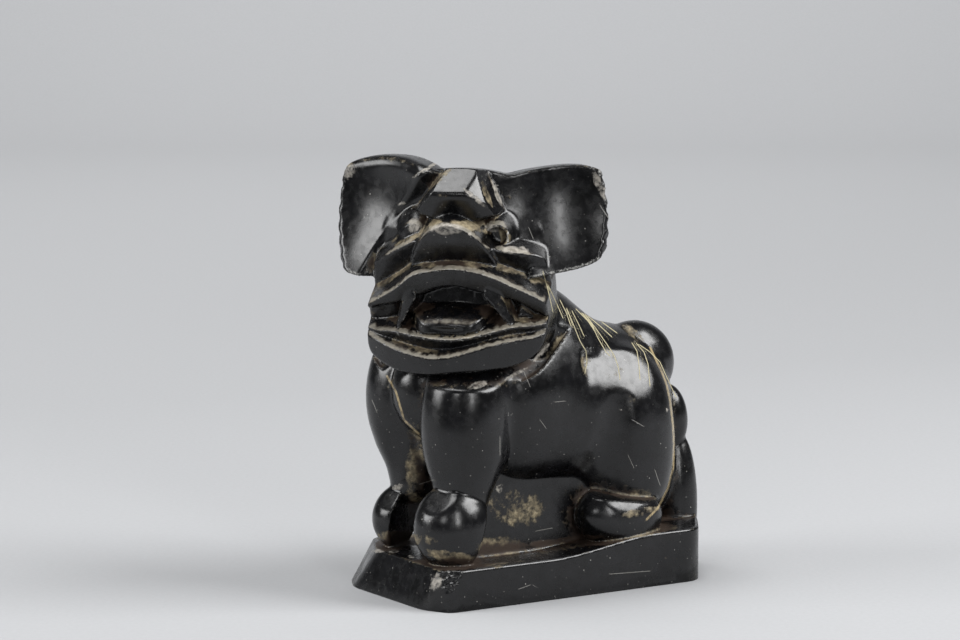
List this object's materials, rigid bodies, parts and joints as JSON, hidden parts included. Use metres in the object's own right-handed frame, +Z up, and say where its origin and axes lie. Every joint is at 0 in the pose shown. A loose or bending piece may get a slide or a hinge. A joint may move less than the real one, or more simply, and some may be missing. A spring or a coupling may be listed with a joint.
{
  "type": "stone lion figurine",
  "caption": "Small carved lion standing on a low plinth, head turned to the viewer's side, one block of polished dark stone",
  "frame": {"origin": "centre of the plinth's underside", "axes": "+Z up; the lion's body lies along X and faces -X; its head is turned towards the display side, -Y"},
  "size_m": [0.0571, 0.0313, 0.0676],
  "materials": {
    "stone": "polished"
  },
  "bodies": {
    "root": {"stone_lion": "stone"}
  },
  "joints": []
}
